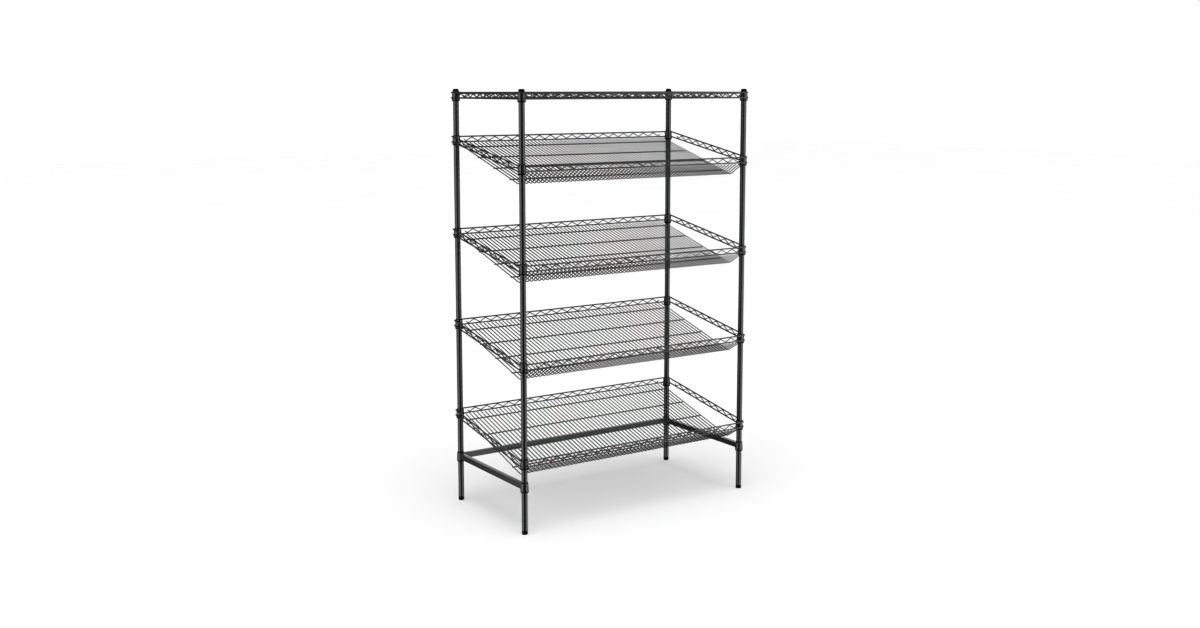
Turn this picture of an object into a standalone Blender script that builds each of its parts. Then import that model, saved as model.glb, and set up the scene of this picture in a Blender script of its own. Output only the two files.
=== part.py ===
"""Wire shelving rack: four grooved posts, a base frame, four slanted shelves and a flat top shelf.

Metres, +Z up. The origin is on the floor at the centre of the four feet. The front is -Y.
"""

import math

import bmesh
import bpy
from mathutils import Matrix, Vector

# Driving dimensions
INCH = 0.0254
GAP = 0.0003
POST_X = 23.4 * INCH
POST_Y = 11.4 * INCH
POST_RADIUS = 0.5 * INCH
POST_WALL = 0.0012
HEIGHT = 74.75 * INCH
CAP_HEIGHT = 0.010
CAP_PLUG_DEPTH = 0.012
FOOT_HEIGHT = 0.017
STUD_RADIUS = 0.1875 * INCH
STUD_LENGTH = 0.036
STUD_CLEARANCE = 0.0004
INSERT_HEIGHT = 0.022
SIDES = 12
CAP_EDGE = 0.0015
FOOT_EDGE = 0.0020
SMOOTH_ANGLE = 35
MERGE = 1e-6
FLAT_ANGLE = 0.001
CUTTER_PAST = 0.004

# Heights of the collars' middles
BASE_LEVEL = 8.2 * INCH
LOWEST_SHELF = 12.25 * INCH
SHELF_STEP = 16.5 * INCH
SHELF_COUNT = 4
SHELF_RISE = 4 * INCH
TOP_LEVEL = 73.5 * INCH

# Sleeve and collar, heights from the collar's middle
SLEEVE_LOW = -0.88 * INCH
SLEEVE_HIGH = 0.88 * INCH
COLLAR_LOW = -0.70 * INCH
COLLAR_HIGH = 0.78 * INCH
BASE_COLLAR_HIGH = 0.70 * INCH
SLEEVE_RIM_RADIUS = 0.0176
SLEEVE_RADIUS_LOW = 0.0160
SLEEVE_RADIUS_HIGH = 0.0142
COLLAR_WALL = 0.0019

# Grooves lie every inch up a post. Only those that a sleeve covers are cut.
GROOVE_START = 4.9 * INCH
GROOVE_STEP = 1.0 * INCH
GROOVE_WIDTH = 0.0030
GROOVE_DEPTH = 0.0006

# Truss of two rails and a zigzag wire between them
RAIL = 0.0060
ZIGZAG = 0.0045
RAIL_TOP = 0.60 * INCH
RAIL_BOTTOM = -0.34 * INCH
LONG_LEGS = 24
SHORT_LEGS = 10
RAIL_PAST_POST = 0.004

# Decks
DECK_WIRE = 0.0052
DECK_WIRES = 18
STRINGER = 0.0055
VALLEY_Y = -8.8 * INCH
VALLEY_DROP = 2.06 * INCH
STRINGER_STEPS = (1.75 * INCH, 7.3 * INCH, 12.8 * INCH, 18.3 * INCH)
TOP_STRINGERS = (-5.8 * INCH, 5.8 * INCH)
TOP_DECK_DROP = 0.0003
MIDDLE_TRUSS_DROP = 0.0004
MIDDLE_TRUSS_LAP = 0.0010

# Base frame tube
TUBE_HEIGHT = 0.93 * INCH
TUBE_RAISE = 0.085 * INCH
TUBE_WIDTH = 1.0 * INCH
TUBE_WALL = 0.0015
VENT_RADIUS = 0.003
VENT_SIDES = 8

# Worked out from the above
SHELF_LEVELS = [LOWEST_SHELF + SHELF_STEP * number for number in range(SHELF_COUNT)]
COLLAR_RADIUS = SLEEVE_RADIUS_LOW + GAP + COLLAR_WALL
SIDE_TRUSS_X = POST_X + COLLAR_RADIUS - COLLAR_WALL + RAIL / 2
LONG_TRUSS_Y = POST_Y + COLLAR_RADIUS + GAP + RAIL / 2
DECK_HALF_WIDTH = POST_X - COLLAR_RADIUS - GAP - DECK_WIRE / 2
DECK_TOP = RAIL_BOTTOM - RAIL / 2 - GAP
CORNERS = {
    "front_left": (-1, -1),
    "front_right": (1, -1),
    "rear_left": (-1, 1),
    "rear_right": (1, 1),
}


def clear_scene():
    for obj in list(bpy.data.objects):
        bpy.data.objects.remove(obj, do_unlink=True)


def material(name, color, roughness, metallic):
    made = bpy.data.materials.new(name)
    made.use_nodes = True
    shader = made.node_tree.nodes["Principled BSDF"]
    shader.inputs["Base Color"].default_value = (*color, 1)
    shader.inputs["Roughness"].default_value = roughness
    shader.inputs["Metallic"].default_value = metallic
    return made


def finished_mesh(name, bm):
    """Turn a bmesh into a mesh with its faces pointing out and its round sides smooth."""
    bmesh.ops.recalc_face_normals(bm, faces=bm.faces)
    mesh = bpy.data.meshes.new(name)
    bm.to_mesh(mesh)
    bm.free()
    mesh.shade_smooth()
    mesh.set_sharp_from_angle(angle=math.radians(SMOOTH_ANGLE))
    return mesh


def place(name, mesh, finish, parent=None, location=(0, 0, 0)):
    obj = bpy.data.objects.new(name, mesh)
    obj.location = location
    obj.parent = parent
    mesh.materials.clear()
    mesh.materials.append(finish)
    bpy.context.scene.collection.objects.link(obj)
    return obj


def empty(name, location):
    obj = bpy.data.objects.new(name, None)
    obj.location = location
    bpy.context.scene.collection.objects.link(obj)
    return obj


def turn(bm, profile, centre=(0, 0, 0)):
    """Spin (radius, height) points about a vertical axis. A profile that leaves the axis open is a ring."""
    verts = [bm.verts.new((centre[0] + radius, centre[1], centre[2] + height)) for radius, height in profile]
    edges = [bm.edges.new(pair) for pair in zip(verts, verts[1:])]
    if profile[0][0] > 0:
        edges.append(bm.edges.new((verts[-1], verts[0])))
    bmesh.ops.spin(
        bm, geom=verts + edges, cent=centre, axis=(0, 0, 1), angle=2 * math.pi, steps=SIDES, use_merge=True
    )
    bmesh.ops.remove_doubles(bm, verts=bm.verts, dist=MERGE)


def turned_mesh(name, profile):
    bm = bmesh.new()
    turn(bm, profile)
    return finished_mesh(name, bm)


def box(bm, low, high):
    made = bmesh.ops.create_cube(bm, size=1)["verts"]
    for vert in made:
        vert.co = [low[i] + (vert.co[i] + 0.5) * (high[i] - low[i]) for i in range(3)]


def combined(name, base, steps):
    """Apply Boolean steps to a mesh, each a (operation, bmesh) pair, and give the mesh they make."""
    body = bpy.data.objects.new(name, finished_mesh(name, base))
    bpy.context.scene.collection.objects.link(body)
    helpers = []
    for operation, bm in steps:
        helper = bpy.data.objects.new(name + "_tool", finished_mesh(name + "_tool", bm))
        helper.hide_render = True
        helper.display_type = "WIRE"
        bpy.context.scene.collection.objects.link(helper)
        helpers.append(helper)
        modifier = body.modifiers.new(operation.lower(), "BOOLEAN")
        modifier.operation = operation
        modifier.object = helper
    graph = bpy.context.evaluated_depsgraph_get()
    made = bmesh.new()
    made.from_mesh(body.evaluated_get(graph).data)
    bmesh.ops.dissolve_limit(made, angle_limit=FLAT_ANGLE, verts=made.verts, edges=made.edges)
    for obj in helpers + [body]:
        bpy.data.objects.remove(obj, do_unlink=True)
    return finished_mesh(name, made)


def sleeve_radius(height):
    """Outer radius of the tapered sleeve at a height from the collar's middle."""
    share = (height - SLEEVE_LOW) / (SLEEVE_HIGH - SLEEVE_LOW)
    return SLEEVE_RADIUS_LOW + share * (SLEEVE_RADIUS_HIGH - SLEEVE_RADIUS_LOW)


def collar_profile(high=COLLAR_HIGH):
    inner_low = sleeve_radius(COLLAR_LOW) + GAP
    inner_high = sleeve_radius(high) + GAP
    return [
        (inner_low, COLLAR_LOW),
        (inner_low + COLLAR_WALL, COLLAR_LOW),
        (inner_high + COLLAR_WALL, high),
        (inner_high, high),
    ]


def sleeve_mesh():
    """Tapered ring with a wider rim that shows under the collar."""
    bore = POST_RADIUS + GAP
    rim = COLLAR_LOW - GAP
    return turned_mesh(
        "sleeve",
        [
            (bore, SLEEVE_LOW),
            (SLEEVE_RIM_RADIUS, SLEEVE_LOW),
            (SLEEVE_RIM_RADIUS, rim),
            (sleeve_radius(rim), rim),
            (SLEEVE_RADIUS_HIGH, SLEEVE_HIGH),
            (bore, SLEEVE_HIGH),
        ],
    )


def post_mesh(name, levels):
    """Tube with a threaded insert at its foot and a groove under each sleeve."""
    low = FOOT_HEIGHT + GAP
    high = HEIGHT - CAP_HEIGHT - GAP
    inner = POST_RADIUS - POST_WALL
    bore = STUD_RADIUS + STUD_CLEARANCE
    profile = [(bore, low), (POST_RADIUS, low)]
    for level in levels:
        middle = GROOVE_START + round((level - GROOVE_START) / GROOVE_STEP) * GROOVE_STEP
        profile += [
            (POST_RADIUS, middle - GROOVE_WIDTH / 2),
            (POST_RADIUS - GROOVE_DEPTH, middle),
            (POST_RADIUS, middle + GROOVE_WIDTH / 2),
        ]
    profile += [
        (POST_RADIUS, high),
        (inner, high),
        (inner, low + INSERT_HEIGHT),
        (bore, low + INSERT_HEIGHT),
    ]
    return turned_mesh(name, profile)


def cap_mesh():
    plug = POST_RADIUS - POST_WALL - GAP
    return turned_mesh(
        "cap",
        [
            (0, -CAP_PLUG_DEPTH),
            (plug, -CAP_PLUG_DEPTH),
            (plug, 0),
            (POST_RADIUS, 0),
            (POST_RADIUS, CAP_HEIGHT - CAP_EDGE),
            (POST_RADIUS - CAP_EDGE, CAP_HEIGHT),
            (0, CAP_HEIGHT),
        ],
    )


def foot_mesh():
    return turned_mesh(
        "foot",
        [
            (0, 0),
            (POST_RADIUS - FOOT_EDGE, 0),
            (POST_RADIUS, FOOT_EDGE),
            (POST_RADIUS, FOOT_HEIGHT),
            (STUD_RADIUS, FOOT_HEIGHT),
            (STUD_RADIUS, FOOT_HEIGHT + STUD_LENGTH),
            (0, FOOT_HEIGHT + STUD_LENGTH),
        ],
    )


def crossing(line, other):
    """Where two lines in the plane meet. Each is a (point, direction) pair."""
    (start, along), (other_start, other_along) = line, other
    share = (other_start - start).cross(other_along) / along.cross(other_along)
    return start + along * share


def inset_triangle(corners, insets):
    """Move each side of a triangle in by its own inset. Side i runs from corner i to corner i + 1."""
    middle = sum(corners, Vector((0, 0))) / 3
    sides = []
    for i, inset in enumerate(insets):
        start = corners[i]
        along = (corners[(i + 1) % 3] - start).normalized()
        normal = Vector((-along.y, along.x))
        if normal.dot(middle - start) < 0:
            normal.negate()
        sides.append((start + normal * inset, along))
    return [crossing(sides[i - 1], sides[i]) for i in range(3)]


def truss_gaps(half_length, legs):
    """The triangular gaps between two rails and a zigzag of straight legs, in the truss's own plane."""
    pitch = 2 * half_length / legs
    rails = (RAIL_BOTTOM, RAIL_TOP)
    gaps = []
    for i in range(legs + 1):
        apex = Vector((-half_length + i * pitch, rails[i % 2]))
        base = rails[(i + 1) % 2]
        left = Vector((max(apex.x - pitch, -half_length), base))
        right = Vector((min(apex.x + pitch, half_length), base))
        insets = [ZIGZAG / 2, RAIL / 2, ZIGZAG / 2]
        if i == 0:
            insets[0] = RAIL / 2
        if i == legs:
            insets[2] = RAIL / 2
        gaps.append(inset_triangle([apex, left, right], insets))
    return gaps


def add_truss(bm, half_length, legs, lean=0.0, sideways=False, across=0.0):
    """Plate of truss wires. It runs along X at y = across, or with sideways along Y at x = across.

    lean is how far it climbs for each metre along it.
    """
    end = half_length + RAIL / 2
    low = RAIL_BOTTOM - RAIL / 2
    high = RAIL_TOP + RAIL / 2
    loops = [[Vector((-end, low)), Vector((end, low)), Vector((end, high)), Vector((-end, high))]]
    loops += truss_gaps(half_length, legs)
    edges = []
    for loop in loops:
        verts = [bm.verts.new((point.x, 0, point.y)) for point in loop]
        edges += [bm.edges.new((verts[i - 1], verts[i])) for i in range(len(verts))]
    filled = bmesh.ops.triangle_fill(bm, use_beauty=True, edges=edges, normal=(0, -1, 0))["geom"]
    faces = [part for part in filled if isinstance(part, bmesh.types.BMFace)]
    grown = bmesh.ops.extrude_face_region(bm, geom=faces, use_keep_orig=True)["geom"]
    back = [part for part in grown if isinstance(part, bmesh.types.BMVert)]
    front = list({vert for face in faces for vert in face.verts})
    for verts, offset in ((front, -RAIL / 2), (back, RAIL / 2)):
        for vert in verts:
            along, height = vert.co.x, vert.co.z + lean * vert.co.x
            place_at = (across + offset, along, height) if sideways else (along, across + offset, height)
            vert.co = place_at


def add_deck(bm, half_width, half_depth, stringers, height_at, bends=()):
    """Grid of square wires: many from front to back, and a few stringers along X, with open bays between.

    stringers are the stringers' Y positions, height_at gives the top's height at a Y position, and bends
    are the Y positions where the wires bend.
    """
    stations = [-half_depth, half_depth, *bends]
    for middle in stringers:
        stations += [middle - STRINGER / 2, middle + STRINGER / 2]
    stations.sort()
    step = 2 * half_width / (DECK_WIRES - 1)
    columns = []
    for i in range(DECK_WIRES):
        middle = -half_width + i * step
        columns += [middle - DECK_WIRE / 2, middle + DECK_WIRE / 2]
    corners = {}

    def corner(column, row):
        if (column, row) not in corners:
            y = stations[row]
            corners[column, row] = bm.verts.new((columns[column], y, height_at(y)))
        return corners[column, row]

    def on_stringer(row):
        middle = (stations[row] + stations[row + 1]) / 2
        return any(abs(middle - y) < STRINGER / 2 for y in stringers)

    for row in range(len(stations) - 1):
        for column in range(len(columns) - 1):
            if column % 2 == 0 or on_stringer(row):
                bm.faces.new([corner(column + i, row + j) for i, j in ((0, 0), (1, 0), (1, 1), (0, 1))])
    faces = bm.faces[:]
    grown = bmesh.ops.extrude_face_region(bm, geom=faces, use_keep_orig=True)["geom"]
    lower = [part for part in grown if isinstance(part, bmesh.types.BMVert)]
    bmesh.ops.translate(bm, verts=lower, vec=(0, 0, -DECK_WIRE))


def slanted_height(y):
    """Top of a slanted deck above the front collars' middle."""
    valley = DECK_TOP - VALLEY_DROP
    if y < VALLEY_Y:
        return valley - (y - VALLEY_Y) * (VALLEY_DROP / (LONG_TRUSS_Y + VALLEY_Y))
    return valley + (y - VALLEY_Y) * (SHELF_RISE + VALLEY_DROP) / (LONG_TRUSS_Y - VALLEY_Y)


def slanted_deck_mesh():
    bm = bmesh.new()
    places = [LONG_TRUSS_Y - step for step in STRINGER_STEPS]
    add_deck(bm, DECK_HALF_WIDTH, LONG_TRUSS_Y, places, slanted_height, bends=(VALLEY_Y,))
    return finished_mesh("slanted_deck", bm)


def long_truss_mesh():
    bm = bmesh.new()
    add_truss(bm, POST_X + RAIL_PAST_POST, LONG_LEGS)
    return finished_mesh("long_truss", bm)


def add_collars(bm, sides, rise=0.0):
    """Collars at the front and rear posts, the rear ones higher by rise."""
    for side in sides:
        turn(bm, collar_profile(), (side * POST_X, -POST_Y, 0))
        turn(bm, collar_profile(), (side * POST_X, POST_Y, rise))


def side_frame_mesh(name, side):
    """Leaning side truss of a slanted shelf with the collars at its two ends."""
    lean = SHELF_RISE / (2 * POST_Y)
    truss = bmesh.new()
    add_truss(truss, POST_Y + RAIL_PAST_POST, SHORT_LEGS, lean, True, side * SIDE_TRUSS_X)
    bmesh.ops.translate(truss, verts=truss.verts, vec=(0, 0, SHELF_RISE / 2))
    collars = bmesh.new()
    add_collars(collars, (side,), SHELF_RISE)
    return combined(name, truss, [("UNION", collars)])


def top_deck_mesh():
    """Flat deck with a truss under each stringer, the two side trusses and the four collars."""
    high = RAIL_TOP + RAIL / 2
    deck = bmesh.new()
    half_depth = LONG_TRUSS_Y - RAIL / 2 - GAP
    add_deck(deck, DECK_HALF_WIDTH, half_depth, TOP_STRINGERS, lambda y: high - TOP_DECK_DROP)
    middle_trusses = bmesh.new()
    for place_y in TOP_STRINGERS:
        add_truss(middle_trusses, SIDE_TRUSS_X - RAIL + MIDDLE_TRUSS_LAP, LONG_LEGS, across=place_y)
    bmesh.ops.translate(middle_trusses, verts=middle_trusses.verts, vec=(0, 0, -MIDDLE_TRUSS_DROP))
    side_trusses = bmesh.new()
    for side in (-1, 1):
        add_truss(side_trusses, POST_Y + RAIL_PAST_POST, SHORT_LEGS, 0.0, True, side * SIDE_TRUSS_X)
    collars = bmesh.new()
    add_collars(collars, (-1, 1))
    steps = [("UNION", middle_trusses), ("UNION", side_trusses), ("UNION", collars)]
    return combined("top_deck", deck, steps)


def bore_profile(inner):
    """Tapered cutter that runs past both ends of a collar's bore."""
    (low_radius, low), (high_radius, high) = inner
    slope = (high_radius - low_radius) / (high - low)
    return [
        (0, low - CUTTER_PAST),
        (low_radius - slope * CUTTER_PAST, low - CUTTER_PAST),
        (high_radius + slope * CUTTER_PAST, high + CUTTER_PAST),
        (0, high + CUTTER_PAST),
    ]


def base_frame_mesh():
    """Rectangular tubes along the rear and both sides, with a collar at each corner."""
    low, high = TUBE_RAISE - TUBE_HEIGHT / 2, TUBE_RAISE + TUBE_HEIGHT / 2
    half_width = TUBE_WIDTH / 2
    inner_width = half_width - TUBE_WALL
    inner_low, inner_high = low + TUBE_WALL, high - TUBE_WALL
    room = COLLAR_RADIUS + TUBE_WALL
    ring = collar_profile(BASE_COLLAR_HIGH)
    outer = ring[1:3]
    inner = [ring[0], ring[3]]
    rear, sides, collars, hollows, bores, vents = [bmesh.new() for _ in range(6)]
    box(rear, (-POST_X, POST_Y - half_width, low), (POST_X, POST_Y + half_width, high))
    box(
        hollows,
        (-POST_X + room, POST_Y - inner_width, inner_low),
        (POST_X - room, POST_Y + inner_width, inner_high),
    )
    for x in (-POST_X, POST_X):
        box(sides, (x - half_width, -POST_Y, low), (x + half_width, POST_Y, high))
        box(
            hollows,
            (x - inner_width, -POST_Y + room, inner_low),
            (x + inner_width, POST_Y - room, inner_high),
        )
        for y in (-POST_Y, POST_Y):
            turn(collars, [(0, COLLAR_LOW), *outer, (0, BASE_COLLAR_HIGH)], (x, y, 0))
            turn(bores, bore_profile(inner), (x, y, 0))
    for x, y in ((0, POST_Y), (-POST_X, 0), (POST_X, 0)):
        bmesh.ops.create_cone(
            vents,
            cap_ends=True,
            segments=VENT_SIDES,
            radius1=VENT_RADIUS,
            radius2=VENT_RADIUS,
            depth=TUBE_WIDTH / 2,
            matrix=Matrix.Translation((x, y, low)),
        )
    steps = [("UNION", sides), ("UNION", collars), ("DIFFERENCE", hollows)]
    steps += [("DIFFERENCE", bores), ("DIFFERENCE", vents)]
    return combined("base_frame", rear, steps)


def add_posts(steel, plastic):
    rear_levels = [level + SHELF_RISE for level in SHELF_LEVELS]
    front = post_mesh("front_post", (BASE_LEVEL, *SHELF_LEVELS, TOP_LEVEL))
    rear = post_mesh("rear_post", (BASE_LEVEL, *rear_levels, TOP_LEVEL))
    cap = cap_mesh()
    foot = foot_mesh()
    sleeve = sleeve_mesh()
    for corner, (side, end) in CORNERS.items():
        x, y = side * POST_X, end * POST_Y
        place("post_" + corner, front if end < 0 else rear, steel, location=(x, y, 0))
        place("cap_" + corner, cap, plastic, location=(x, y, HEIGHT - CAP_HEIGHT))
        place("foot_" + corner, foot, plastic, location=(x, y, 0))
        heights = {"base": BASE_LEVEL, "top": TOP_LEVEL}
        for number, level in enumerate(rear_levels if end > 0 else SHELF_LEVELS, 1):
            heights["shelf_%d" % number] = level
        for held, height in heights.items():
            place("sleeve_%s_%s" % (held, corner), sleeve, plastic, location=(x, y, height))


def add_slanted_shelves(steel):
    deck = slanted_deck_mesh()
    truss = long_truss_mesh()
    left = side_frame_mesh("left_side", -1)
    right = side_frame_mesh("right_side", 1)
    for number, level in enumerate(SHELF_LEVELS, 1):
        name = "shelf_%d" % number
        lift = empty(name, (0, 0, level))
        place(name + "_deck", deck, steel, lift)
        place(name + "_front_truss", truss, steel, lift, (0, -LONG_TRUSS_Y, 0))
        place(name + "_rear_truss", truss, steel, lift, (0, LONG_TRUSS_Y, SHELF_RISE))
        place(name + "_left_side", left, steel, lift)
        place(name + "_right_side", right, steel, lift)


def add_top_shelf(steel):
    truss = long_truss_mesh()
    lift = empty("top_shelf", (0, 0, TOP_LEVEL))
    place("top_shelf_deck", top_deck_mesh(), steel, lift)
    place("top_shelf_front_truss", truss, steel, lift, (0, -LONG_TRUSS_Y, 0))
    place("top_shelf_rear_truss", truss, steel, lift, (0, LONG_TRUSS_Y, 0))


def add_base(steel):
    lift = empty("base", (0, 0, BASE_LEVEL))
    place("base_frame", base_frame_mesh(), steel, lift)


clear_scene()
coated_steel = material("black_epoxy_coat", (0.035, 0.035, 0.037), 0.38, 0.0)
black_plastic = material("black_plastic", (0.012, 0.012, 0.012), 0.5, 0.0)
add_posts(coated_steel, black_plastic)
add_base(coated_steel)
add_slanted_shelves(coated_steel)
add_top_shelf(coated_steel)
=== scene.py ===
"""Wire shelving rack: round wires, tapered collars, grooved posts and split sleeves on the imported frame.

Metres, +Z up, front -Y. Every mesh is in the frame's own coordinates, so each object stays at the origin.
"""

import math

import bmesh
import bpy
import numpy as np
from mathutils import Euler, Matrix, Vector


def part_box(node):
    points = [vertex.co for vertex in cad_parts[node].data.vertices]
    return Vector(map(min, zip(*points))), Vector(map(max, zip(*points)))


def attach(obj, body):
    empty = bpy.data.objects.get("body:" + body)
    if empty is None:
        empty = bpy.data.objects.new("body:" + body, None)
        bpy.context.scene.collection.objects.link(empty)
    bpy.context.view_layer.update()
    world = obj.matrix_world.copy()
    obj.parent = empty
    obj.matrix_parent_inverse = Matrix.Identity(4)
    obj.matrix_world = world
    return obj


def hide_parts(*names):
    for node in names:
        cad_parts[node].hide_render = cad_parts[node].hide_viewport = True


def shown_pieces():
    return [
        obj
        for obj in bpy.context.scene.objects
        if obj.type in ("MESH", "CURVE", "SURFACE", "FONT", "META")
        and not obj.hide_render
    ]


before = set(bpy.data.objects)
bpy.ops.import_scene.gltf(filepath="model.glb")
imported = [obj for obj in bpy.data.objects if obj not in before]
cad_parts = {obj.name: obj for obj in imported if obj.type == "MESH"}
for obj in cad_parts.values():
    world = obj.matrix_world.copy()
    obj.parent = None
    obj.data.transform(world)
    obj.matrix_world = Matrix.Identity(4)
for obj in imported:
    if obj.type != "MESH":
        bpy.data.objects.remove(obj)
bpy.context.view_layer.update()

INCH = 0.0254
CORNERS = {
    "front_left": (-1, -1),
    "front_right": (1, -1),
    "rear_left": (-1, 1),
    "rear_right": (1, 1),
}
LEVELS = ("base", "shelf_1", "shelf_2", "shelf_3", "shelf_4", "top")

# Wires. A zigzag's corners, before they are rounded, are ZIGZAG_OFF_RAIL from a rail's inner side.
# A stringer sinks STRINGER_SUNK into the deck wires. It ends END_SHORT of a slanted deck's outer side,
# or END_SUNK inside the top shelf's side rails. BEAD holds a weld's radii along its rail, across and up.
RAIL = 0.0060
ZIGZAG = 0.0042
DECK_WIRE = 0.0044
STRINGER = 0.0052
DECK_COUNT = 58
RAIL_SIDES = 12
STRINGER_SIDES = 10
THIN_SIDES = 8
ZIGZAG_OFF_RAIL = 0.0006
ZIGZAG_TAIL = 0.45 * INCH
ZIGZAG_TAIL_HEIGHT = 0.48
ZIGZAG_BEND = 0.0042
BEAD = (0.0036, 0.0024, 0.0011)
STRINGER_SUNK = 0.0003
END_SHORT = 0.0004
END_SUNK = 0.0004

# Zigzags: number of periods, their length and how far the zigzag's middle is off the truss's
LONG_ZIGZAG = (18, 2.365 * INCH, 0.25 * INCH)
SHORT_ZIGZAG = (8, 2.255 * INCH, 0.12 * INCH)

# Decks
STRINGER_STEPS = [step * INCH for step in (1.75, 7.3, 12.8, 18.3)]
TOP_STRINGERS = [place * INCH for place in (-9.6, 0.0, 9.6)]
TOP_TRUSSES = [place * INCH for place in (-5.8, 5.8)]
DECK_GAP = 0.0001
TOP_DECK_DROP = 0.0003
TOP_DECK_GAP = 0.0002
VALLEY_Y = -8.8 * INCH
VALLEY_DROP = 2.06 * INCH
VALLEY_BEND = 0.007
VALLEY_BEND_STEPS = 5

# Posts, caps and feet. CAD_GAP keeps neighbours apart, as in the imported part. GROOVE_SHAPE gives a groove's
# points as shares of its half width and of its depth. A turn of the thread has THREAD_ROWS rings.
GROOVE_START = 4.9 * INCH
GROOVE_STEP = 1.0 * INCH
GROOVE_WIDTH = 0.0030
GROOVE_DEPTH = 0.0006
GROOVE_BEND = 0.0004
GROOVE_SHAPE = ((-0.75, 0.15), (-0.25, 0.85), (0.25, 0.85), (0.75, 0.15))
LAST_GROOVE_BELOW_TOP = 0.6 * INCH
POST_WALL = 0.0012
POST_EDGE = 0.0004
POST_SIDES = 40
CAD_GAP = 0.0003
STUD_RADIUS = 0.1875 * INCH
INSERT_HEIGHT = 0.022
INSERT_RECESS = 0.0002
INSERT_CLEARANCE = 0.0004
INSERT_CHAMFER = 0.0008
INSERT_SIDES = 24
THREAD_PITCH = INCH / 16
THREAD_DEPTH = 0.0007
THREAD_SIDES = 20
THREAD_ROWS = 6

# Collars and sleeves. Heights are from the collar's middle. Each half of a sleeve ends SLEEVE_SPLIT radians
# before the plane that divides the two.
COLLAR_WALL = 0.0019
COLLAR_LOW = -0.70 * INCH
COLLAR_HIGH = 0.78 * INCH
BASE_COLLAR_HIGH = 0.70 * INCH
COLLAR_SIDES = 48
COLLAR_LIP = 0.0016
COLLAR_GAP = 0.0002
SLEEVE_RIM = 0.0016
SLEEVE_TAPER = 0.0018
SLEEVE_BORE_GAP = 0.0002
SLEEVE_EDGE = 0.0006
SLEEVE_SPLIT = 0.028
SLEEVE_STEPS = 18

# Base frame. A tube starts TUBE_START from the post's axis. Its middle is TUBE_RAISE above the collar's.
TUBE_HEIGHT = 0.93 * INCH
TUBE_WIDTH = 1.0 * INCH
TUBE_RAISE = 0.085 * INCH
TUBE_BEND = 0.0030
TUBE_START = 0.0135
TUBE_WELD = 0.0019
TUBE_WELD_WAVE = 0.0003


def middle(node):
    low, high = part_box(node)
    return (Vector(low) + Vector(high)) / 2


# Driving places, read from the frame
post_low, post_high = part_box("post_front_left")
POST_X = -middle("post_front_left").x
POST_Y = -middle("post_front_left").y
POST_RADIUS = (post_high[0] - post_low[0]) / 2
sleeve_low, sleeve_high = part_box("sleeve_base_front_left")
SLEEVE_HALF = (sleeve_high[2] - sleeve_low[2]) / 2
RIM_RADIUS = (sleeve_high[0] - sleeve_low[0]) / 2
SLEEVE_RADIUS_LOW = RIM_RADIUS - SLEEVE_RIM
SLEEVE_RADIUS_HIGH = SLEEVE_RADIUS_LOW - SLEEVE_TAPER
truss_low, truss_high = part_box("shelf_1_front_truss")
TRUSS_Y = -middle("shelf_1_front_truss").y
TRUSS_END = truss_high[0]
SHELF_LEVEL = {name: middle("sleeve_%s_front_left" % name).z for name in LEVELS}
RISE = middle("sleeve_shelf_1_rear_left").z - SHELF_LEVEL["shelf_1"]
RAIL_BOTTOM = truss_low[2] + RAIL / 2 - SHELF_LEVEL["shelf_1"]
RAIL_TOP = truss_high[2] - RAIL / 2 - SHELF_LEVEL["shelf_1"]
SIDE_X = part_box("shelf_1_right_side")[1][0] - RAIL / 2
DECK_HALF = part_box("shelf_1_deck")[1][0] - DECK_WIRE / 2
DECK_TOP = RAIL_BOTTOM - RAIL / 2 - DECK_GAP


# ---------------------------------------------------------------- meshes

SMOOTH_ANGLE = 40
WIRE_END_BEVEL = 0.25
WIRE_END_NARROW = 0.78
SHARPEST_MITRE = 0.5
LONGEST_TANGENT = 0.48
ON_AXIS = 1e-7
MERGE = 1e-6


class Shape:
    """Collects vertices and faces, each face with a material slot."""

    def __init__(self):
        self.verts = []
        self.faces = []
        self.slots = []
        self.count = 0

    def add(self, verts, faces, slot=0):
        self.verts.append(np.asarray(verts, float).reshape(-1, 3))
        self.faces += [[index + self.count for index in face] for face in faces]
        self.slots += [slot] * len(faces)
        self.count += len(self.verts[-1])

    def piece(self, name, body, nodes, materials, slot):
        """Make the object that rides on a body and stands for CAD nodes. The slot argument is not used."""
        mesh = bpy.data.meshes.new(name)
        mesh.from_pydata(np.concatenate(self.verts), [], self.faces)
        for made in materials:
            mesh.materials.append(made)
        mesh.polygons.foreach_set("material_index", self.slots)
        mesh.update()
        mesh.shade_smooth()
        mesh.set_sharp_from_angle(angle=math.radians(SMOOTH_ANGLE))
        obj = bpy.data.objects.new(name, mesh)
        bpy.context.scene.collection.objects.link(obj)
        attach(obj, body)
        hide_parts(*nodes)


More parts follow.
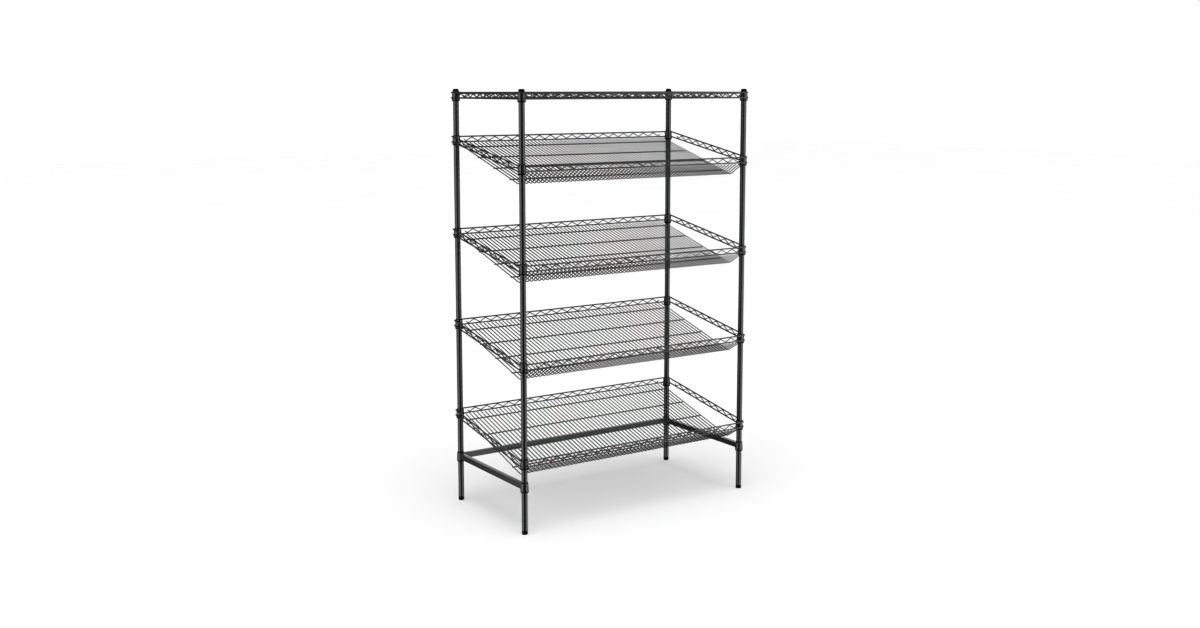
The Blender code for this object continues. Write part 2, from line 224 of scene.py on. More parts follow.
def swept(points, radius, normal, sides):
    """Vertices and faces of a round wire with bevelled ends, along points in the plane across normal."""
    points = np.asarray(points, float)
    normal = np.asarray(normal, float)
    steps = np.diff(points, axis=0)
    steps /= np.linalg.norm(steps, axis=1)[:, None]
    along = np.concatenate([steps[:1], steps[:-1] + steps[1:], steps[-1:]])
    along /= np.linalg.norm(along, axis=1)[:, None]
    stretch = np.ones(len(points))
    stretch[1:-1] = 1 / np.maximum(SHARPEST_MITRE, (along[1:-1] * steps[:-1]).sum(axis=1))
    bevel = along[[0, -1]] * WIRE_END_BEVEL * radius
    inner = [points[:1] + bevel[:1], points[1:-1], points[-1:] - bevel[1:]]
    points = np.concatenate([points[:1], *inner, points[-1:]])
    along = np.concatenate([along[:1], along, along[-1:]])
    stretch = np.concatenate([[1], stretch, [1]])
    radii = np.full(len(points), radius)
    radii[[0, -1]] = radius * WIRE_END_NARROW
    across = np.cross(np.broadcast_to(normal, along.shape), along)
    turns = np.arange(sides) * (2 * math.pi / sides)
    in_plane = (across * (radii * stretch)[:, None])[:, None, :] * np.cos(turns)[None, :, None]
    off_plane = normal[None, None, :] * (radii[:, None] * np.sin(turns)[None, :])[:, :, None]
    verts = (points[:, None, :] + in_plane + off_plane).reshape(-1, 3)
    return verts, rod_faces(len(points), sides)


def rod_faces(rows, sides):
    """Faces of a closed rod whose vertices come ring after ring."""
    faces = []
    for start in range(0, (rows - 1) * sides, sides):
        for side in range(sides):
            after = (side + 1) % sides
            faces.append([start + side, start + after, start + sides + after, start + sides + side])
    faces.append(list(range(sides))[::-1])
    faces.append([(rows - 1) * sides + side for side in range(sides)])
    return faces


def rounded(points, bend, steps):
    """Polyline with each inner corner replaced by a parabola whose tangents are at most bend long."""
    points = [np.asarray(point, float) for point in points]
    made = [points[0]]
    for before, corner, after in zip(points, points[1:], points[2:]):
        back = before - corner
        on = after - corner
        shorter = min(np.linalg.norm(back), np.linalg.norm(on))
        reach = min(bend, LONGEST_TANGENT * shorter)
        start = corner + back / np.linalg.norm(back) * reach
        end = corner + on / np.linalg.norm(on) * reach
        for share in np.linspace(0, 1, steps + 1):
            made.append((1 - share) ** 2 * start + 2 * share * (1 - share) * corner + share**2 * end)
    made.append(points[-1])
    return made


def turned(profile, centre, sides):
    """Surface of revolution of (radius, height) points. A profile that starts off the axis makes a ring."""
    profile = np.asarray(profile, float)
    turns = np.arange(sides) * (2 * math.pi / sides)
    ring = np.stack([np.cos(turns), np.sin(turns)], axis=1)
    rows = len(profile)
    verts = np.zeros((rows, sides, 3))
    verts[:, :, :2] = profile[:, None, :1] * ring[None, :, :]
    verts[:, :, 2] = profile[:, 1:]
    verts += np.asarray(centre, float)
    on_axis = profile[0][0] < ON_AXIS
    faces = []
    for row in range(rows - 1 if on_axis else rows):
        below, above = row * sides, (row + 1) % rows * sides
        for side in range(sides):
            after = (side + 1) % sides
            faces.append([below + side, below + after, above + after, above + side])
    return verts.reshape(-1, 3), faces


def welded(shape):
    """Merge the doubled points of a turned shape's poles."""
    bm = bmesh.new()
    made = [bm.verts.new(point) for point in np.concatenate(shape.verts)]
    for face, slot in zip(shape.faces, shape.slots):
        bm.faces.new([made[index] for index in face]).material_index = slot
    bmesh.ops.remove_doubles(bm, verts=bm.verts, dist=MERGE)
    bmesh.ops.dissolve_degenerate(bm, dist=MERGE, edges=bm.edges)
    bm.verts.index_update()
    tidy = Shape()
    tidy.verts = [np.array([vert.co for vert in bm.verts])]
    tidy.faces = [[vert.index for vert in face.verts] for face in bm.faces]
    tidy.slots = [face.material_index for face in bm.faces]
    tidy.count = len(bm.verts)
    bm.free()
    return tidy


# ---------------------------------------------------------------- materials

# Colours of dust, scratches, zinc and floor
DUST = (0.16, 0.155, 0.15)
SCRATCH = (0.012, 0.012, 0.012)
ZINC_DARK = (0.46, 0.46, 0.45)
ZINC_LIGHT = (0.62, 0.61, 0.58)
FLOOR_DARK = (0.900, 0.900, 0.900)
FLOOR_LIGHT = (0.912, 0.912, 0.912)
PLASTIC_SHINE = 0.06


def noise(tree, coords, scale, detail, stretch=(1, 1, 1)):
    """Noise over the object's own coordinates, in features per metre."""
    mapping = tree.nodes.new("ShaderNodeMapping")
    mapping.inputs["Scale"].default_value = stretch
    tree.links.new(coords, mapping.inputs["Vector"])
    made = tree.nodes.new("ShaderNodeTexNoise")
    made.inputs["Scale"].default_value = scale
    made.inputs["Detail"].default_value = detail
    tree.links.new(mapping.outputs["Vector"], made.inputs["Vector"])
    return made.outputs["Fac"]


def ramp(tree, value, low, high, dark, light):
    """Map low to dark and high to light, and clamp what lies outside."""
    made = tree.nodes.new("ShaderNodeMapRange")
    made.inputs["From Min"].default_value = low
    made.inputs["From Max"].default_value = high
    made.inputs["To Min"].default_value = dark
    made.inputs["To Max"].default_value = light
    tree.links.new(value, made.inputs["Value"])
    return made.outputs["Result"]


def mixed(tree, share, first, second):
    """Blend two colours, each a tuple or an output."""
    made = tree.nodes.new("ShaderNodeMix")
    made.data_type = "RGBA"
    tree.links.new(share, made.inputs[0])
    for socket, value in ((made.inputs[6], first), (made.inputs[7], second)):
        if isinstance(value, tuple):
            socket.default_value = (*value, 1)
        else:
            tree.links.new(value, socket)
    return made.outputs[2]


def bumped(tree, shader, layers):
    """Chain of bumps, each (height output, strength, distance)."""
    last = None
    for height, strength, distance in layers:
        bump = tree.nodes.new("ShaderNodeBump")
        bump.inputs["Strength"].default_value = strength
        bump.inputs["Distance"].default_value = distance
        tree.links.new(height, bump.inputs["Height"])
        if last is not None:
            tree.links.new(last, bump.inputs["Normal"])
        last = bump.outputs["Normal"]
    tree.links.new(last, shader.inputs["Normal"])


def begin(name):
    """New material, its nodes, its shader and its coordinates."""
    made = bpy.data.materials.new(name)
    made.use_nodes = True
    tree = made.node_tree
    shader = tree.nodes["Principled BSDF"]
    coords = tree.nodes.new("ShaderNodeTexCoord").outputs["Object"]
    return made, tree, shader, coords


def coated_steel(name, base, light, rough, peel_scale, peel_depth, scuff):
    """Black epoxy coat: mottled colour, orange peel, dust on what faces up and rubbed spots."""
    made, tree, shader, coords = begin(name)
    links = tree.links
    cloud = noise(tree, coords, 38, 4)
    speck = noise(tree, coords, 900, 2)
    peel = noise(tree, coords, peel_scale, 2)
    rub = noise(tree, coords, 55, 5)
    body = mixed(tree, ramp(tree, cloud, 0.3, 0.7, 0, 1), base, light)
    rubbed = ramp(tree, rub, 0.60, 0.72, 0, scuff)
    worn = tuple(min(1, channel * 2.6 + 0.02) for channel in light)
    color = mixed(tree, rubbed, body, worn)
    geometry = tree.nodes.new("ShaderNodeNewGeometry")
    split = tree.nodes.new("ShaderNodeSeparateXYZ")
    links.new(geometry.outputs["Normal"], split.inputs["Vector"])
    up = ramp(tree, split.outputs["Z"], 0.55, 1.0, 0, 1)
    dusty = tree.nodes.new("ShaderNodeMath")
    dusty.operation = "MULTIPLY"
    links.new(up, dusty.inputs[0])
    links.new(ramp(tree, speck, 0.35, 0.75, 0.02, 0.14), dusty.inputs[1])
    color = mixed(tree, dusty.outputs["Value"], color, DUST)
    links.new(color, shader.inputs["Base Color"])
    smear = noise(tree, coords, 120, 4)
    links.new(ramp(tree, smear, 0.25, 0.75, rough[0], rough[1]), shader.inputs["Roughness"])
    bumped(tree, shader, [(peel, 0.5, peel_depth), (speck, 0.25, 0.00003)])
    return made


def black_plastic(name, base, light, rough):
    """Moulded plastic: fine spark-eroded grain, faint flow marks and handling scratches."""
    made, tree, shader, coords = begin(name)
    links = tree.links
    flow = noise(tree, coords, 60, 3, (1, 1, 3))
    grain = noise(tree, coords, 2600, 2)
    scratch = noise(tree, coords, 160, 4, (1, 1, 0.12))
    body = mixed(tree, ramp(tree, flow, 0.3, 0.7, 0, 1), base, light)
    color = mixed(tree, ramp(tree, scratch, 0.62, 0.70, 0, 0.35), body, SCRATCH)
    links.new(color, shader.inputs["Base Color"])
    links.new(ramp(tree, grain, 0.25, 0.75, rough[0], rough[1]), shader.inputs["Roughness"])
    shader.inputs["Specular IOR Level"].default_value = PLASTIC_SHINE
    bumped(tree, shader, [(grain, 0.45, 0.00006), (flow, 0.2, 0.0002)])
    return made


def zinc_steel(name):
    """Bright zinc plate with cloudy passivation."""
    made, tree, shader, coords = begin(name)
    links = tree.links
    cloud = noise(tree, coords, 220, 4)
    fine = noise(tree, coords, 1800, 2)
    color = mixed(tree, ramp(tree, cloud, 0.3, 0.7, 0, 1), ZINC_DARK, ZINC_LIGHT)
    links.new(color, shader.inputs["Base Color"])
    shader.inputs["Metallic"].default_value = 1.0
    links.new(ramp(tree, cloud, 0.3, 0.7, 0.28, 0.46), shader.inputs["Roughness"])
    bumped(tree, shader, [(fine, 0.3, 0.00003)])
    return made


def pale_floor(name):
    """Near-white matt paper with faint clouds and fine tooth."""
    made, tree, shader, coords = begin(name)
    links = tree.links
    cloud = noise(tree, coords, 0.8, 3)
    color = mixed(tree, ramp(tree, cloud, 0.3, 0.7, 0, 1), FLOOR_DARK, FLOOR_LIGHT)
    links.new(color, shader.inputs["Base Color"])
    links.new(ramp(tree, noise(tree, coords, 90, 3), 0.3, 0.7, 0.82, 0.92), shader.inputs["Roughness"])
    bumped(tree, shader, [(noise(tree, coords, 400, 3), 0.05, 0.0002)])
    return made


WIRE_COAT = coated_steel(
    "black_coat_wire",
    base=(0.008, 0.008, 0.0085),
    light=(0.013, 0.013, 0.0135),
    rough=(0.30, 0.44),
    peel_scale=620,
    peel_depth=0.00012,
    scuff=0.25,
)
POST_COAT = coated_steel(
    "black_coat_post",
    base=(0.006, 0.006, 0.0065),
    light=(0.010, 0.010, 0.0105),
    rough=(0.18, 0.28),
    peel_scale=380,
    peel_depth=0.00014,
    scuff=0.16,
)
FORGED_COAT = coated_steel(
    "black_coat_heavy",
    base=(0.009, 0.009, 0.0095),
    light=(0.014, 0.014, 0.0145),
    rough=(0.30, 0.44),
    peel_scale=300,
    peel_depth=0.00022,
    scuff=0.20,
)
PLASTIC = black_plastic(
    "black_moulded_plastic",
    base=(0.002, 0.002, 0.002),
    light=(0.004, 0.004, 0.004),
    rough=(0.46, 0.62),
)
ZINC = zinc_steel("zinc_plate")


# ---------------------------------------------------------------- pieces


def sleeve_radius(height):
    """Outer radius of the tapered sleeve at a height from the collar's middle."""
    share = (height + SLEEVE_HALF) / (2 * SLEEVE_HALF)
    return SLEEVE_RADIUS_LOW + share * (SLEEVE_RADIUS_HIGH - SLEEVE_RADIUS_LOW)


def collar_profile(high):
    """Tapered ring with rounded edges at both ends, up to high above the collar's middle."""
    low, lip = COLLAR_LOW, COLLAR_LIP
    inner_low = sleeve_radius(low) + COLLAR_GAP
    inner_high = sleeve_radius(high) + COLLAR_GAP
    outside = []
    for height in np.linspace(low + lip, high - lip, 9):
        outside.append((sleeve_radius(height) + COLLAR_GAP + COLLAR_WALL, height))
    arc = [(math.sin(turn), 1 - math.cos(turn)) for turn in np.linspace(0, math.pi / 2, 5)][:-1]
    bottom = [(inner_low + COLLAR_WALL - lip + out * lip, low + up * lip) for out, up in arc]
    top = [(inner_high + COLLAR_WALL - lip + out * lip, high - up * lip) for out, up in arc[::-1]]
    return [(inner_low, low), *bottom, *outside, *top, (inner_high, high)]


def add_collar(shape, x, y, z, high=COLLAR_HIGH):
    shape.add(*turned(collar_profile(high), (x, y, z), COLLAR_SIDES), 1)


def add_bead(shape, centre, size):
    """Small weld blob, a squashed ball of three rings."""
    turns = np.arange(THIN_SIDES) * (2 * math.pi / THIN_SIDES)
    points = []
    for tilt in np.radians((-60, 0, 60)):
        for turn in turns:
            way = (math.cos(tilt) * math.cos(turn), math.cos(tilt) * math.sin(turn), math.sin(tilt))
            points.append([centre[axis] + size[axis] * way[axis] for axis in range(3)])
    shape.add(points, rod_faces(3, THIN_SIDES))


def zigzag_points(periods, pitch, shift, top):
    """Bent wire in a truss's plane, as (along, height) points, with a short free tail at each end."""
    high = top - RAIL / 2 - ZIGZAG_OFF_RAIL
    low = RAIL_BOTTOM + RAIL / 2 + ZIGZAG_OFF_RAIL
    half = periods * pitch / 2
    tail_height = low + ZIGZAG_TAIL_HEIGHT * (high - low)
    points = [(shift - half - ZIGZAG_TAIL, tail_height)]
    for step in range(2 * periods + 1):
        points.append((shift - half + step * pitch / 2, high if step % 2 else low))
    points.append((shift + half + ZIGZAG_TAIL, tail_height))
    return rounded(points, ZIGZAG_BEND, 4)


def add_truss(shape, end, zigzag, at, lean=0.0, sideways=False, top=RAIL_TOP):
    """Two rails and the zigzag between them. It runs along X at y = at, or with sideways along Y at x = at.

    top is the height of the upper rail.
    """

    def put(along, height):
        height = height + lean * along
        return (at, along, height) if sideways else (along, at, height)

    normal = (1, 0, 0) if sideways else (0, 1, 0)
    for height in (top, RAIL_BOTTOM):
        rail = [put(-end, height), put(0, height), put(end, height)]
        shape.add(*swept(rail, RAIL / 2, normal, RAIL_SIDES))
    path = [put(along, height) for along, height in zigzag_points(*zigzag, top)]
    shape.add(*swept(path, ZIGZAG / 2, normal, THIN_SIDES))
    periods, pitch, shift = zigzag
    long_way, thick, tall = BEAD
    size = (thick, long_way, tall) if sideways else (long_way, thick, tall)
    for step in range(2 * periods + 1):
        height = top - RAIL / 2 if step % 2 else RAIL_BOTTOM + RAIL / 2
        add_bead(shape, put(shift + (step - periods) * pitch / 2, height), size)


def add_cross_wire(shape, reach, y, z):
    """Stringer along X, from -reach to reach."""
    path = [(-reach, y, z), (0, y, z), (reach, y, z)]
    shape.add(*swept(path, STRINGER / 2, (0, 0, 1), STRINGER_SIDES))


def moved(shape, z):
    for verts in shape.verts:
        verts[:, 2] += z


def slanted_height(y):
    """Top of a slanted deck above the front collars' middle."""
    valley = DECK_TOP - VALLEY_DROP
    if y < VALLEY_Y:
        return valley - (y - VALLEY_Y) * (VALLEY_DROP / (TRUSS_Y + VALLEY_Y))
    return valley + (y - VALLEY_Y) * (RISE + VALLEY_DROP) / (TRUSS_Y - VALLEY_Y)


def wire_columns():
    return np.linspace(-DECK_HALF, DECK_HALF, DECK_COUNT)


def slanted_deck(level):
    """Wires from the front rail down to a valley and up to the rear rail, with stringers under them."""
    shape = Shape()
    path = [(y, slanted_height(y) - DECK_WIRE / 2) for y in (-TRUSS_Y, VALLEY_Y, TRUSS_Y)]
    path = rounded(path, VALLEY_BEND, VALLEY_BEND_STEPS)
    for x in wire_columns():
        shape.add(*swept([(x, y, level + z) for y, z in path], DECK_WIRE / 2, (1, 0, 0), THIN_SIDES))
    nudge = 0.001
    for step in STRINGER_STEPS:
        y = TRUSS_Y - step
        slope = (slanted_height(y + nudge) - slanted_height(y - nudge)) / (2 * nudge)
        below = (DECK_WIRE + STRINGER / 2 - STRINGER_SUNK) * math.hypot(1, slope)
        reach = DECK_HALF + DECK_WIRE / 2 - END_SHORT
        add_cross_wire(shape, reach, y, level + slanted_height(y) - below)
    return shape


def long_truss(level, y):
    """Front or rear truss of a shelf."""
    shape = Shape()
    add_truss(shape, TRUSS_END, LONG_ZIGZAG, y)
    moved(shape, level)
    return shape


def side_frame(level, side):
    """Leaning side truss of a slanted shelf with the collars at its two ends."""
    shape = Shape()
    lean = RISE / (2 * POST_Y)
    end = POST_Y + TRUSS_END - POST_X
    add_truss(shape, end, SHORT_ZIGZAG, side * SIDE_X, lean, True)
    moved(shape, RISE / 2)
    add_collar(shape, side * POST_X, -POST_Y, 0)
    add_collar(shape, side * POST_X, POST_Y, RISE)
    moved(shape, level)
    return shape


def top_deck(level):
    """Flat deck on stringers and two trusses, with the side trusses and the collars."""
    shape = Shape()
    top = RAIL_TOP + RAIL / 2 - TOP_DECK_DROP
    reach = TRUSS_Y - RAIL / 2 - TOP_DECK_GAP
    z = top - DECK_WIRE / 2
    for x in wire_columns():
        path = [(x, -reach, z), (x, 0, z), (x, reach, z)]
        shape.add(*swept(path, DECK_WIRE / 2, (1, 0, 0), THIN_SIDES))
    wide = SIDE_X - RAIL / 2 + END_SUNK
    for y in TOP_STRINGERS:
        add_cross_wire(shape, wide, y, top - DECK_WIRE - STRINGER / 2 + STRINGER_SUNK)
    for y in TOP_TRUSSES:
        add_truss(shape, wide, LONG_ZIGZAG, y, top=RAIL_TOP - DECK_WIRE)
    end = POST_Y + TRUSS_END - POST_X
    for side in (-1, 1):
        add_truss(shape, end, SHORT_ZIGZAG, side * SIDE_X, 0.0, True)
        for y in (-POST_Y, POST_Y):
            add_collar(shape, side * POST_X, y, 0)
    moved(shape, level)
    return shape


def foot_of_post(corner):
    """Where a post's axis meets the floor."""
    side, end = CORNERS[corner]
    return (side * POST_X, end * POST_Y, 0)


def post(corner):
    """Tube with a groove every inch, and the threaded insert at its bottom."""
    low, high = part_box("post_" + corner)
    bottom, top = low[2], high[2]
    profile = [(POST_RADIUS - POST_EDGE, bottom), (POST_RADIUS, bottom + POST_EDGE)]
    half = GROOVE_WIDTH / 2
    place = GROOVE_START
    while place < top - LAST_GROOVE_BELOW_TOP:
        profile.append((POST_RADIUS, place - half - GROOVE_BEND))
        for share, deep in GROOVE_SHAPE:
            profile.append((POST_RADIUS - deep * GROOVE_DEPTH, place + half * share))
        profile.append((POST_RADIUS, place + half + GROOVE_BEND))
        place += GROOVE_STEP
    inner = POST_RADIUS - POST_WALL
    profile += [(POST_RADIUS, top), (inner, top), (inner, bottom + 0.0005)]
    shape = Shape()
    shape.add(*turned(profile, foot_of_post(corner), POST_SIDES))
    bore = STUD_RADIUS + INSERT_CLEARANCE
    start = bottom + INSERT_RECESS
    insert = [
        (bore + INSERT_CHAMFER, start),
        (inner, start),
        (inner, bottom + INSERT_HEIGHT),
        (bore, bottom + INSERT_HEIGHT),
        (bore, start + INSERT_CHAMFER),
    ]
    shape.add(*turned(insert, foot_of_post(corner), INSERT_SIDES), 1)
    return shape


def cap(corner):
    """Domed cap with a plug inside the post."""
    low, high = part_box("cap_" + corner)
    top = high[2]
    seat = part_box("post_" + corner)[1][2] + CAD_GAP
    plug = POST_RADIUS - POST_WALL - CAD_GAP
    rim = POST_RADIUS
    profile = [
        (0, low[2]),
        (plug - 0.0006, low[2]),
        (plug, low[2] + 0.0008),
        (plug, seat),
        (rim - 0.0003, seat),
        (rim, seat + 0.0004),
        (rim, top - 0.0034),
        (rim - 0.0004, top - 0.0022),
        (rim - 0.0015, top - 0.0010),
        (rim - 0.0034, top - 0.0004),
        (rim * 0.5, top - 0.0001),
        (0, top),
    ]
    shape = Shape()
    shape.add(*turned(profile, foot_of_post(corner), POST_SIDES))
    return welded(shape)


def threaded(radius, low, high, centre):
    """Rod whose radius follows a helical thread, plain at its two ends."""
    pitch, depth, sides = THREAD_PITCH, THREAD_DEPTH, THREAD_SIDES
    rows = int((high - low) / (pitch / THREAD_ROWS))
    verts = np.zeros((rows + 1, sides, 3))
    turns = np.arange(sides) * (2 * math.pi / sides)
    for row in range(rows + 1):
        height = low + (high - low) * row / rows
        phase = (height / pitch - turns / (2 * math.pi)) % 1
        cut = np.clip(np.abs(phase - 0.5) * 4 - 0.6, 0, 1) * depth
        fade = min(1, (rows - row) / 8, row / 4)
        reach = radius - cut * fade
        verts[row, :, 0] = reach * np.cos(turns)
        verts[row, :, 1] = reach * np.sin(turns)
        verts[row, :, 2] = height
    verts += np.asarray(centre, float)
    return verts.reshape(-1, 3), rod_faces(rows + 1, sides)


def foot(corner):
    """Round foot with a grip groove, and its threaded stud."""
    stud_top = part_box("foot_" + corner)[1][2]
    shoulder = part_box("post_" + corner)[0][2] - CAD_GAP
    rim = POST_RADIUS
    profile = [
        (0, 0.0),
        (rim - 0.0032, 0.0),
        (rim - 0.0016, 0.0004),
        (rim - 0.0005, 0.0013),
        (rim, 0.0028),
        (rim, 0.0100),
        (rim - 0.0006, 0.0106),
        (rim - 0.0006, 0.0118),
        (rim, 0.0124),
        (rim, shoulder - 0.0005),
        (rim - 0.0005, shoulder),
        (0, shoulder),
    ]
    shape = Shape()
    shape.add(*turned(profile, foot_of_post(corner), POST_SIDES))
    shape = welded(shape)
    shape.add(*threaded(STUD_RADIUS, shoulder - 0.0005, stud_top, foot_of_post(corner)), 1)
    return shape


def sleeve(node_name):
    """Two half shells with a thin gap between them."""
    low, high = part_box(node_name)
    centre = (np.array(low) + np.array(high)) / 2
    bore = POST_RADIUS + SLEEVE_BORE_GAP
    half = SLEEVE_HALF
    edge = SLEEVE_EDGE
    rim = COLLAR_LOW - CAD_GAP
    profile = [
        (bore, -half),
        (RIM_RADIUS - edge, -half),
        (RIM_RADIUS - edge * 0.3, -half + edge * 0.3),
        (RIM_RADIUS, -half + edge),
        (RIM_RADIUS, rim - edge),
        (RIM_RADIUS - edge, rim),
        (sleeve_radius(rim), rim),
        (sleeve_radius(0), 0),
        (sleeve_radius(half - edge), half - edge),
        (SLEEVE_RADIUS_HIGH - edge * 0.3, half - edge * 0.3),
        (SLEEVE_RADIUS_HIGH - edge, half),
        (bore, half),
    ]
    shape = Shape()
    for start in (0.0, math.pi):
        turns = np.linspace(start + SLEEVE_SPLIT, start + math.pi - SLEEVE_SPLIT, SLEEVE_STEPS + 1)
        verts = [
            (centre[0] + radius * math.cos(turn), centre[1] + radius * math.sin(turn), centre[2] + height)
            for turn in turns
            for radius, height in profile
        ]
        count = len(profile)
        faces = []
        for step in range(SLEEVE_STEPS):
            for row in range(count):
                after = (row + 1) % count
                here, there = step * count, (step + 1) * count
                faces.append([here + row, there + row, there + after, here + after])
        faces.append(list(range(count)))
        faces.append([SLEEVE_STEPS * count + row for row in range(count)][::-1])
        shape.add(verts, faces)
    return shape


def tube_outline():
    """Rounded rectangle as (across, up) points, anticlockwise."""
    points = []
    for across, up, start in ((1, 1, 0), (-1, 1, 90), (-1, -1, 180), (1, -1, 270)):
        for turn in np.radians(np.linspace(start, start + 90, 5)):
            out = across * (TUBE_WIDTH / 2 - TUBE_BEND) + TUBE_BEND * math.cos(turn)
            points.append((out, up * (TUBE_HEIGHT / 2 - TUBE_BEND) + TUBE_BEND * math.sin(turn)))
    return points


def add_tube(shape, start, end, along, outline):
    """Straight tube with the given outline. Its open ends are inside the collars."""
    start, end = np.asarray(start, float), np.asarray(end, float)
    up = np.array((0, 0, 1.0))
    across = np.cross(up, along)
    verts = []
    stations = np.linspace(0, 1, 9)
    for share in stations:
        middle_here = start + (end - start) * share
        verts += [middle_here + across * a + up * b for a, b in outline]
    sides_only = rod_faces(len(stations), len(outline))[:-2]
    shape.add(verts, sides_only)


def weld_ring(shape, centre, direction, outline):
    """Bead where a tube meets a collar: it follows the tube's outline on the collar's cone."""
    along = np.asarray(direction, float)
    across = np.cross((0, 0, 1.0), along)
    verts = []
    count = len(outline)
    sides = 6
    for i, (a, b) in enumerate(outline):
        height = TUBE_RAISE + b
        reach = sleeve_radius(height) + COLLAR_WALL + COLLAR_GAP
        out = math.sqrt(max(0.0, reach * reach - a * a))
        here = np.array(centre, float) + along * out + across * a
        here[2] += height
        before, after = outline[i - 1], outline[(i + 1) % count]
        tangent = np.array((after[0] - before[0], after[1] - before[1]))
        tangent /= np.linalg.norm(tangent)
        outward = across * tangent[1] + np.array((0, 0, -tangent[0]))
        size = TUBE_WELD + TUBE_WELD_WAVE * math.sin(9.0 * i + 3.0 * centre[0])
        for turn in np.arange(sides) * (2 * math.pi / sides):
            verts.append(here + size * (math.cos(turn) * outward + math.sin(turn) * along))
    faces = []
    for row in range(count):
        here, there = row * sides, (row + 1) % count * sides
        for side in range(sides):
            after = (side + 1) % sides
            faces.append([here + side, here + after, there + after, there + side])
    shape.add(verts, faces)


def base_frame(level):
    """Three rectangular tubes with a collar at each post and a weld where a tube meets a collar."""
    shape = Shape()
    outline = tube_outline()
    x, y, z = POST_X - TUBE_START, POST_Y - TUBE_START, TUBE_RAISE
    add_tube(shape, (-x, POST_Y, z), (x, POST_Y, z), (1.0, 0, 0), outline)
    for side in (-1, 1):
        add_tube(shape, (side * POST_X, -y, z), (side * POST_X, y, z), (0, 1.0, 0), outline)
        for end in (-1, 1):
            add_collar(shape, side * POST_X, end * POST_Y, 0, BASE_COLLAR_HIGH)
    for side in (-1, 1):
        weld_ring(shape, (side * POST_X, POST_Y, 0), (-side, 0, 0), outline)
        weld_ring(shape, (side * POST_X, -POST_Y, 0), (0, 1.0, 0), outline)
        weld_ring(shape, (side * POST_X, POST_Y, 0), (0, -1.0, 0), outline)
    moved(shape, level)
    return shape


# ---------------------------------------------------------------- the rack

STEEL = "coated_steel"
MOULDED = "black_plastic"
post_and_insert = [POST_COAT, ZINC]
foot_and_stud = [PLASTIC, ZINC]
wires_and_collars = [WIRE_COAT, POST_COAT]
tubes_and_collars = [FORGED_COAT, POST_COAT]

for corner in CORNERS:
    post(corner).piece("round_post_" + corner, "uprights", ["post_" + corner], post_and_insert, STEEL)
    cap(corner).piece("domed_cap_" + corner, "uprights", ["cap_" + corner], [PLASTIC], MOULDED)
    body = "levelling_foot_" + corner
    foot(corner).piece("turned_foot_" + corner, body, ["foot_" + corner], foot_and_stud, MOULDED)
    for name in LEVELS:
        node_name = "sleeve_%s_%s" % (name, corner)
        sleeve(node_name).piece("split_" + node_name, "uprights", [node_name], [PLASTIC], MOULDED)

frame_piece = base_frame(SHELF_LEVEL["base"])
frame_piece.piece("welded_base_frame", "base_frame", ["base_frame"], tubes_and_collars, STEEL)

for name in LEVELS[1:5]:
    level = SHELF_LEVEL[name]
    slanted_deck(level).piece(name + "_wire_deck", name, [name + "_deck"], [WIRE_COAT], STEEL)
    for end, y, rise in (("_front", -TRUSS_Y, 0), ("_rear", TRUSS_Y, RISE)):
        truss = long_truss(level + rise, y)
        truss.piece(name + end + "_wires", name, [name + end + "_truss"], [WIRE_COAT], STEEL)
    for hand, side in (("_left", -1), ("_right", 1)):
        sided = side_frame(level, side)
        sided.piece(name + hand + "_wires", name, [name + hand + "_side"], wires_and_collars, STEEL)

deck = top_deck(SHELF_LEVEL["top"])
deck.piece("top_wire_deck", "top_shelf", ["top_shelf_deck"], wires_and_collars, STEEL)
for end, y in (("front", -TRUSS_Y), ("rear", TRUSS_Y)):
    truss = long_truss(SHELF_LEVEL["top"], y)
    truss.piece("top_%s_wires" % end, "top_shelf", ["top_shelf_%s_truss" % end], [WIRE_COAT], STEEL)


# ---------------------------------------------------------------- stage, light and camera

FLOOR_HALF = 30.0
AMBIENT = 0.14
SUN_DISTANCE = 6
BOX_DISTANCE = 2.6
BOX_MIDDLE = 0.9
BOX_HEIGHT = 5.6
BOX_BRIGHTNESS = 4.0


def floor():
    """Large flat floor that casts no shadow and isn't mirrored in the rack."""
    bm = bmesh.new()
    signs = ((-1, -1), (1, -1), (1, 1), (-1, 1))
    corners = [bm.verts.new((x * FLOOR_HALF, y * FLOOR_HALF, 0)) for x, y in signs]
    bm.faces.new(corners)
    bmesh.ops.subdivide_edges(bm, edges=bm.edges, cuts=6, use_grid_fill=True)
    mesh = bpy.data.meshes.new("floor")
    bm.to_mesh(mesh)
    bm.free()
    mesh.materials.append(pale_floor("pale_floor"))
    obj = bpy.data.objects.new("floor", mesh)
    bpy.context.scene.collection.objects.link(obj)
    obj.visible_glossy = False
    obj.visible_shadow = False


def soft_sun(name, azimuth, elevation, spread, strength, shadow=True):
    """Distant soft light. Azimuth 0 shines from the front, 90 from the right; angles in degrees."""
    light = bpy.data.lights.new(name, "SUN")
    light.energy = strength
    light.angle = math.radians(spread)
    light.use_shadow = shadow
    obj = bpy.data.objects.new(name, light)
    turn, lift = math.radians(azimuth), math.radians(elevation)
    source = Vector((math.sin(turn) * math.cos(lift), -math.cos(turn) * math.cos(lift), math.sin(lift)))
    obj.location = source * SUN_DISTANCE
    obj.rotation_mode = "QUATERNION"
    obj.rotation_quaternion = (-source).to_track_quat("-Z", "Y")
    bpy.context.scene.collection.objects.link(obj)


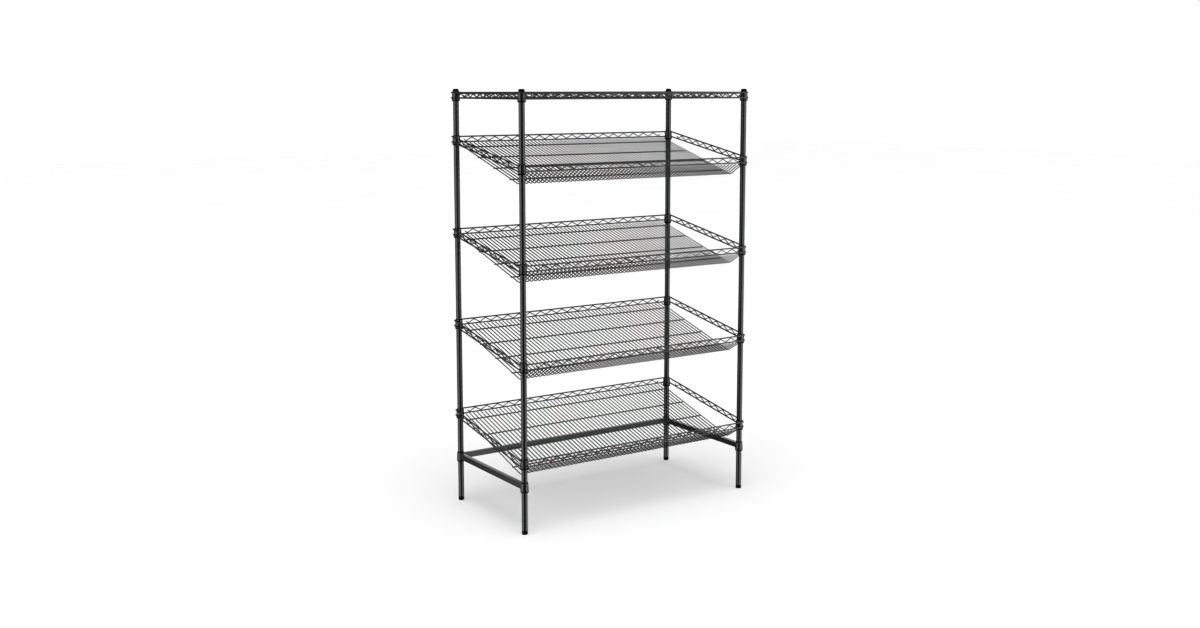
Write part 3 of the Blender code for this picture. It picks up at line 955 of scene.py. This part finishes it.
def studio_world():
    """White where it is seen directly, dimmer where it lights the scene."""
    world = bpy.data.worlds.new("studio")
    world.use_nodes = True
    tree = world.node_tree
    background = tree.nodes["Background"]
    background.inputs["Color"].default_value = (1, 1, 1, 1)
    path = tree.nodes.new("ShaderNodeLightPath")
    strength = ramp(tree, path.outputs["Is Camera Ray"], 0, 1, AMBIENT, 1.0)
    tree.links.new(strength, background.inputs["Strength"])
    bpy.context.scene.world = world


def soft_box(name, azimuth, distance, height, size, brightness):
    """Upright soft box that faces the rack and lights nothing else, its middle at the given height.

    Azimuth as in soft_sun.
    """
    light = bpy.data.lights.new(name, "AREA")
    light.shape = "RECTANGLE"
    light.size, light.size_y = size
    light.energy = brightness * math.pi * size[0] * size[1]
    obj = bpy.data.objects.new(name, light)
    turn = math.radians(azimuth)
    obj.location = (math.sin(turn) * distance, -math.cos(turn) * distance, height)
    obj.rotation_euler = (math.radians(90), 0, turn)
    obj.visible_camera = False
    obj.light_linking.receiver_collection = rack
    bpy.context.scene.collection.objects.link(obj)


rack = bpy.data.collections.new("rack")
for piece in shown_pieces():
    rack.objects.link(piece)
floor()
studio_world()
TALL_BOXES = (("left", -116, 1.0), ("front_left", -85, 1.9), ("front_right", 17, 1.9), ("right", 60, 1.9))
for name, azimuth, width in TALL_BOXES:
    soft_box(name + "_box", azimuth, BOX_DISTANCE, BOX_MIDDLE, (width, BOX_HEIGHT), BOX_BRIGHTNESS)
soft_box("back_box", azimuth=146, distance=2.2, height=0.75, size=(2.6, 0.7), brightness=3.2)
soft_sun("top", azimuth=-30, elevation=78, spread=50, strength=1.5)
soft_sun("fill", azimuth=-30, elevation=78, spread=50, strength=1.75, shadow=False)

# Camera in front of the rack and to its left, level with the post tops. It looks right and a little down.
CAMERA_PLACE = (-3.3704, -5.0032, 1.9050)
CAMERA_TILT = 7.469
CAMERA_TURN = 33.881
camera_data = bpy.data.cameras.new("camera")
camera_data.lens = 39.493
camera_data.sensor_width = 36.0
camera_data.shift_y = -0.045
camera_data.clip_end = 100.0
camera = bpy.data.objects.new("camera", camera_data)
camera.location = CAMERA_PLACE
camera.rotation_euler = Euler((math.radians(90 - CAMERA_TILT), 0, math.radians(-CAMERA_TURN)))
bpy.context.scene.collection.objects.link(camera)
bpy.context.scene.camera = camera
bpy.context.scene.view_settings.view_transform = "Standard"
bpy.context.scene.view_settings.gamma = 0.70
